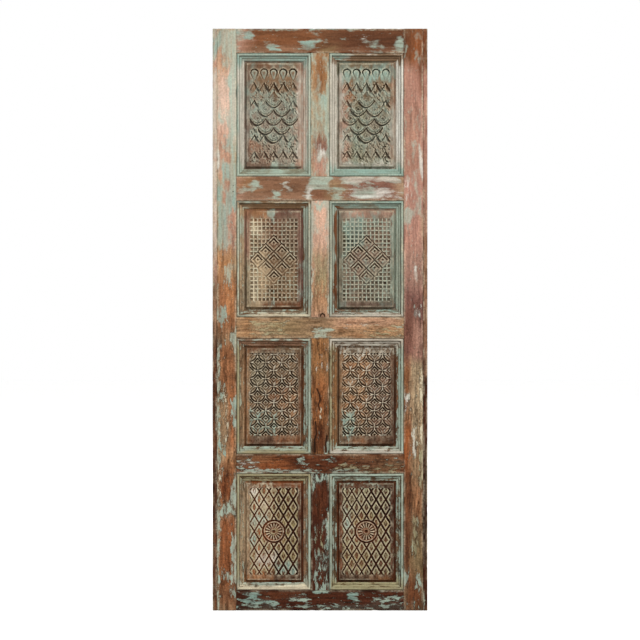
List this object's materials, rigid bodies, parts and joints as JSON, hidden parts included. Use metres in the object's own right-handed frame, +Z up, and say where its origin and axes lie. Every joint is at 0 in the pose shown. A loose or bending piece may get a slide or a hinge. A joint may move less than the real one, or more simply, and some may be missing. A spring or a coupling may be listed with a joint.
{
  "type": "carved barn door",
  "caption": "Old stile-and-rail wooden door slab with raised panels chip-carved in a different pattern on each row, mitred panel mouldings and worn paint.",
  "frame": {"origin": "middle of the bottom edge, half way through the thickness", "axes": "+X to the right seen from the carved face, +Z up, the carved face looks along -Y"},
  "size_m": [0.788, 0.044, 2.134],
  "materials": {
    "stile_wood": "worn paint over wood",
    "edge_strip_wood": "worn paint over wood",
    "rail_wood": "worn paint over wood",
    "muntin_wood": "worn paint over wood",
    "scale_panel_wood": "worn paint over carved wood",
    "grid_panel_wood": "worn paint over carved wood",
    "circle_panel_wood": "worn paint over carved wood",
    "rosette_panel_wood": "worn paint over carved wood",
    "moulding_wood": "worn pale green paint",
    "peg_wood": "bare dark wood"
  },
  "bodies": {
    "root": {"left_stile": "stile_wood", "left_edge_strip": "edge_strip_wood", "right_stile": "stile_wood", "right_edge_strip": "edge_strip_wood", "top_rail": "rail_wood", "upper_cross_rail": "rail_wood", "lock_rail": "rail_wood", "lower_cross_rail": "rail_wood", "bottom_rail": "rail_wood", "tenon_pegs": "peg_wood", "scale_muntin": "muntin_wood", "scale_panel_left": "scale_panel_wood", "scale_left_moulding_bottom": "moulding_wood", "scale_left_moulding_left": "moulding_wood", "scale_left_moulding_top": "moulding_wood", "scale_left_moulding_right": "moulding_wood", "scale_panel_right": "scale_panel_wood", "scale_right_moulding_bottom": "moulding_wood", "scale_right_moulding_left": "moulding_wood", "scale_right_moulding_top": "moulding_wood", "scale_right_moulding_right": "moulding_wood", "grid_muntin": "muntin_wood", "grid_panel_left": "grid_panel_wood", "grid_left_moulding_bottom": "moulding_wood", "grid_left_moulding_left": "moulding_wood", "grid_left_moulding_top": "moulding_wood", "grid_left_moulding_right": "moulding_wood", "grid_panel_right": "grid_panel_wood", "grid_right_moulding_bottom": "moulding_wood", "grid_right_moulding_left": "moulding_wood", "grid_right_moulding_top": "moulding_wood", "grid_right_moulding_right": "moulding_wood", "circle_muntin": "muntin_wood", "circle_panel_left": "circle_panel_wood", "circle_left_moulding_bottom": "moulding_wood", "circle_left_moulding_left": "moulding_wood", "circle_left_moulding_top": "moulding_wood", "circle_left_moulding_right": "moulding_wood", "circle_panel_right": "circle_panel_wood", "circle_right_moulding_bottom": "moulding_wood", "circle_right_moulding_left": "moulding_wood", "circle_right_moulding_top": "moulding_wood", "circle_right_moulding_right": "moulding_wood", "rosette_muntin": "muntin_wood", "rosette_panel_left": "rosette_panel_wood", "rosette_left_moulding_bottom": "moulding_wood", "rosette_left_moulding_left": "moulding_wood", "rosette_left_moulding_top": "moulding_wood", "rosette_left_moulding_right": "moulding_wood", "rosette_panel_right": "rosette_panel_wood", "rosette_right_moulding_bottom": "moulding_wood", "rosette_right_moulding_left": "moulding_wood", "rosette_right_moulding_top": "moulding_wood", "rosette_right_moulding_right": "moulding_wood"}
  },
  "joints": []
}
